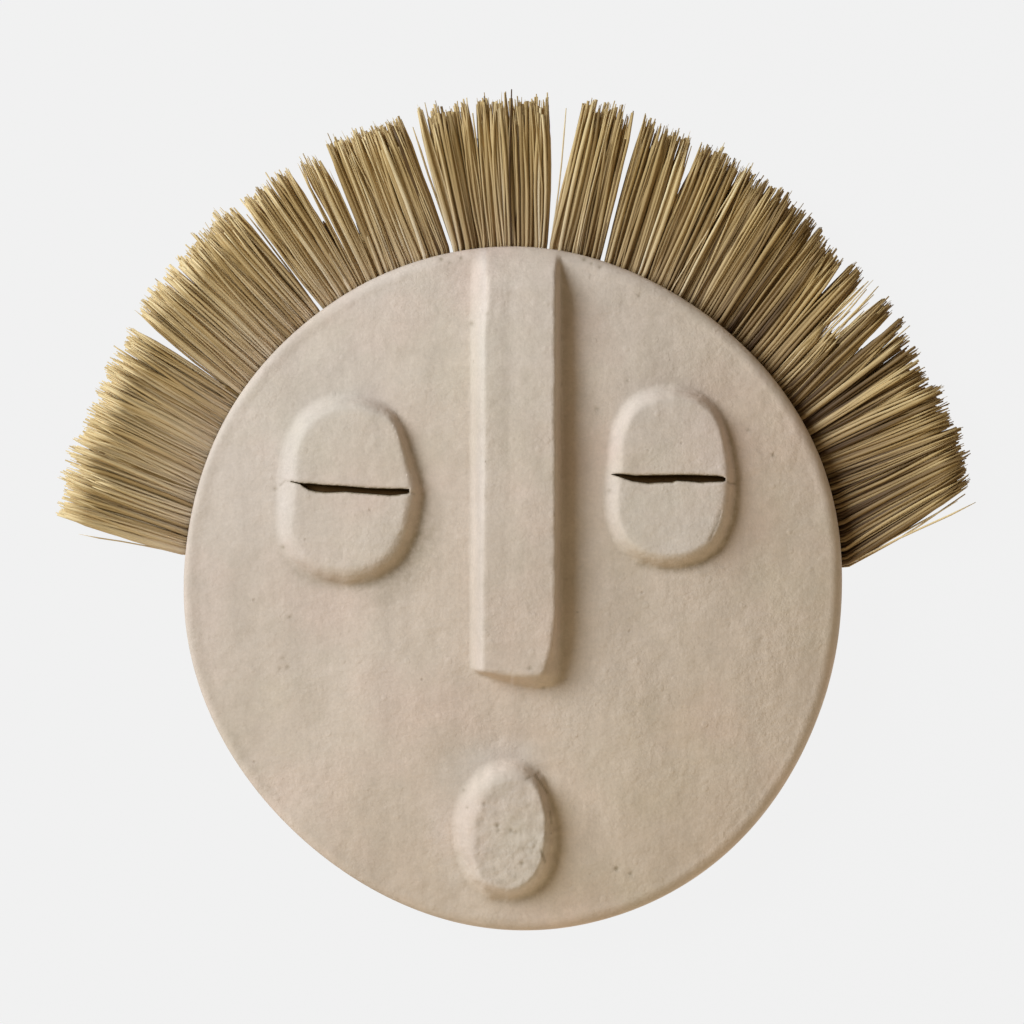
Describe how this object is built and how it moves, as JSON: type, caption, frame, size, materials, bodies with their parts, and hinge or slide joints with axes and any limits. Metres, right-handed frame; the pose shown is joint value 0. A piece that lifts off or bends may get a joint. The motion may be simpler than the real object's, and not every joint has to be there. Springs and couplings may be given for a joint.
{
  "type": "african mask",
  "caption": "Round hollow face mask in clay-skimmed papier-mache with a long nose bar, slit eyes, an oval mouth and a fan of straw hair along its upper rim.",
  "frame": {"origin": "middle of the whole mask's footprint, on the plane of the back rim that it lies on", "axes": "+Z out of the face, +Y from the chin to the hair, +X to the mask's left eye, which is on the right as it is looked at"},
  "size_m": [0.414, 0.38, 0.0536],
  "materials": {
    "clay_skim": "matt, dry, brushed",
    "straw": "dry natural straw, slight sheen"
  },
  "bodies": {
    "root": {"face_shell": "clay_skim", "hair_tuft_01": "straw", "hair_tuft_02": "straw", "hair_tuft_03": "straw", "hair_tuft_04": "straw", "hair_tuft_05": "straw", "hair_tuft_06": "straw", "hair_tuft_07": "straw", "hair_tuft_08": "straw", "hair_tuft_09": "straw", "hair_tuft_10": "straw", "hair_tuft_11": "straw", "hair_tuft_12": "straw", "hair_tuft_13": "straw", "hair_tuft_14": "straw", "hair_tuft_15": "straw", "hair_tuft_16": "straw", "hair_tuft_17": "straw", "hair_tuft_18": "straw", "hair_tuft_19": "straw", "hair_tuft_20": "straw", "hair_tuft_21": "straw", "hair_tuft_22": "straw", "hair_tuft_23": "straw", "hair_tuft_24": "straw", "hair_tuft_25": "straw", "hair_tuft_26": "straw", "hair_tuft_27": "straw", "hair_tuft_28": "straw", "hair_tuft_29": "straw", "hair_tuft_30": "straw", "hair_tuft_31": "straw", "hair_tuft_32": "straw", "hair_tuft_33": "straw", "hair_tuft_34": "straw", "hair_tuft_35": "straw", "hair_tuft_36": "straw", "hair_tuft_37": "straw", "hair_tuft_38": "straw", "hair_tuft_39": "straw", "hair_tuft_40": "straw", "hair_tuft_41": "straw", "hair_tuft_42": "straw", "hair_tuft_43": "straw", "hair_tuft_44": "straw", "hair_tuft_45": "straw", "hair_tuft_46": "straw", "hair_tuft_47": "straw", "hair_tuft_48": "straw"}
  },
  "joints": []
}
